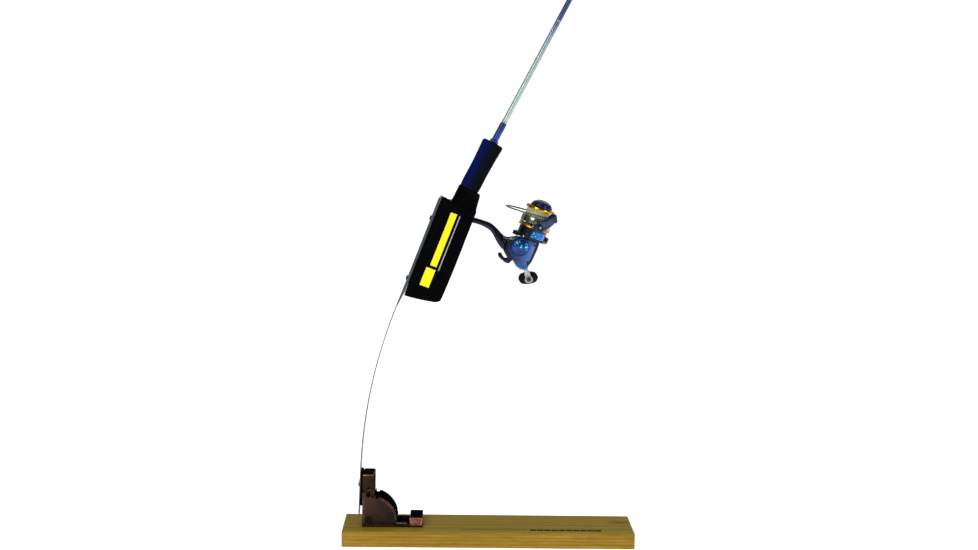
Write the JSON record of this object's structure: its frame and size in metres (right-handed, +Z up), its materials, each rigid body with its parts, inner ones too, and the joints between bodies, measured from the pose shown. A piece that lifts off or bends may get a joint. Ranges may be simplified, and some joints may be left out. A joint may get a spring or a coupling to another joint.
{
  "type": "ice fishing tip up",
  "caption": "Spring-blade ice fishing tip up: wood board, notched tilting bracket, flexible blade and wrap holder carrying a short rod with spinning reel.",
  "frame": {"origin": "centre of the board's underside", "axes": "+X along the board toward its long free end, +Y away from the side the holder's print faces, +Z up"},
  "size_m": [0.5134, 0.0979, 1.1281],
  "materials": {
    "oak": "satin, oiled hardwood",
    "copper": "antique copper, dark in the recesses",
    "dark_steel": "dark patina",
    "arm_brown": "antique copper, brown",
    "spring_steel": "brushed",
    "bar_grey": "slate grey satin",
    "black_fabric": "matt woven face",
    "black_rubber": "matt",
    "grip_foam": "matt foam, dark blue",
    "blank": "clear-coated, silver and dark blue",
    "wrap": "lacquered thread",
    "guide_metal": "dark plated",
    "bright_steel": "polished",
    "reel_black": "gloss painted, blue-black",
    "reel_lavender": "pearl blue",
    "reel_blue": "metallic blue",
    "black_plastic": "gloss",
    "chrome": "mirror",
    "gear_brass": "machined",
    "gold": "gold anodised",
    "spool_silver": "bright turned",
    "line": "wound line",
    "washer": "felt and fibre",
    "rotor_black": "gloss, blue-black"
  },
  "bodies": {
    "base": {"base_board": "oak", "bracket": "copper", "end_block": "copper", "bracket_screws": "dark_steel", "pivot_pin": "dark_steel"},
    "arm": {"swing_arm": "arm_brown", "blade_pad": "black_rubber", "blade_screws": "dark_steel", "spring_blade": "spring_steel", "lock_spring": "bright_steel"},
    "lock": {"lock_pin": "bright_steel"},
    "holder": {"backing_bar": "bar_grey", "holder_rivets": "dark_steel", "rivet_washers": "bright_steel", "sleeve": "black_fabric", "neck_band": "black_fabric", "closure_flap": "black_fabric", "rod_blank": "blank", "butt_cap": "black_rubber", "handle_grip": "grip_foam", "slide_rings": "bright_steel", "winding_check": "black_rubber", "guide_1": "guide_metal", "guide_2": "guide_metal", "guide_3": "guide_metal", "guide_4": "guide_metal", "tip_top": "guide_metal", "guide_wraps": "wrap", "reel_frame": "reel_black", "main_bearing": "bright_steel", "handle_bearing": "bright_steel", "side_cover": "reel_lavender", "side_cap": "reel_blue", "cover_screws": "bright_steel", "rear_cap": "reel_blue"},
    "lever": {"ar_lever": "black_plastic"},
    "crank": {"handle_shaft": "bright_steel", "drive_gear": "gear_brass", "crank_arm": "chrome", "crank_cap": "black_plastic", "knob_post": "chrome"},
    "knob": {"crank_knob": "black_rubber"},
    "rotor": {"rotor": "rotor_black", "rotor_ring": "reel_blue", "rotor_nut": "bright_steel", "pinion": "gear_brass", "bail_pivots": "reel_blue"},
    "bail": {"bail_arm": "reel_lavender", "bail_wire": "bright_steel", "bail_holder": "rotor_black"},
    "roller": {"line_roller": "gold"},
    "shaft": {"main_shaft": "bright_steel", "osc_slider": "gear_brass"},
    "spool": {"spool": "spool_silver", "spool_lips": "gold", "wound_line": "line", "drag_stack": "washer"},
    "drag": {"drag_knob": "reel_blue"}
  },
  "joints": [
    {"name": "arm_tilt", "type": "hinge", "parent": "base", "child": "arm", "pos_m": [-0.1421, 0, 0.0273], "axis": [0, 1, 0], "range_deg": [0, 20]},
    {"name": "lock_lift", "type": "slide", "parent": "arm", "child": "lock", "axis": [0, 0, 1], "range_m": [-0.0072, 0], "deforming": ["lock_spring"]},
    {"name": "blade_flex", "type": "hinge", "parent": "arm", "child": "holder", "pos_m": [-0.14069, 0, 0.18207], "axis": [0, 1, 0], "range_deg": [-22, 35], "stiffness_Nm_per_rad": 1.2862, "springref_deg": -18.91, "deforming": ["spring_blade"]},
    {"name": "lever_flip", "type": "hinge", "parent": "holder", "child": "lever", "pos_m": [0.01683, 0, 0.33664], "axis": [0, 1, 0], "range_deg": [-25, 0]},
    {"name": "crank_spin", "type": "hinge", "parent": "holder", "child": "crank", "pos_m": [0.0311, 0.02, 0.35351], "axis": [0, 1, 0], "continuous": true},
    {"name": "knob_spin", "type": "hinge", "parent": "crank", "child": "knob", "pos_m": [0.0445, 0.056, 0.30877], "axis": [0, 1, 0], "continuous": true},
    {"name": "rotor_spin", "type": "hinge", "parent": "holder", "child": "rotor", "pos_m": [0.04266, 0, 0.36434], "axis": [0.3256, 0, 0.9455], "continuous": true},
    {"name": "bail_flip", "type": "hinge", "parent": "rotor", "child": "bail", "pos_m": [0.04767, 0, 0.3789], "axis": [-0.1593, 0.9857, 0.0549], "range_deg": [0, 70]},
    {"name": "roller_spin", "type": "hinge", "parent": "bail", "child": "roller", "pos_m": [0.0663, -0.01868, 0.38581], "axis": [0.932, 0.1685, -0.3209], "continuous": true},
    {"name": "spool_slide", "type": "slide", "parent": "holder", "child": "shaft", "axis": [0.3256, 0, 0.9455], "range_m": [-0.003, 0.005]},
    {"name": "spool_spin", "type": "hinge", "parent": "shaft", "child": "spool", "pos_m": [0.05047, 0, 0.38703], "axis": [0.3256, 0, 0.9455], "continuous": true},
    {"name": "drag_turn", "type": "hinge", "parent": "shaft", "child": "drag", "pos_m": [0.05503, 0, 0.40027], "axis": [0.3256, 0, 0.9455], "continuous": true}
  ],
  "couplings": [
    {"joint": "crank_spin", "follows": "rotor_spin", "ratio": 0.2}
  ]
}
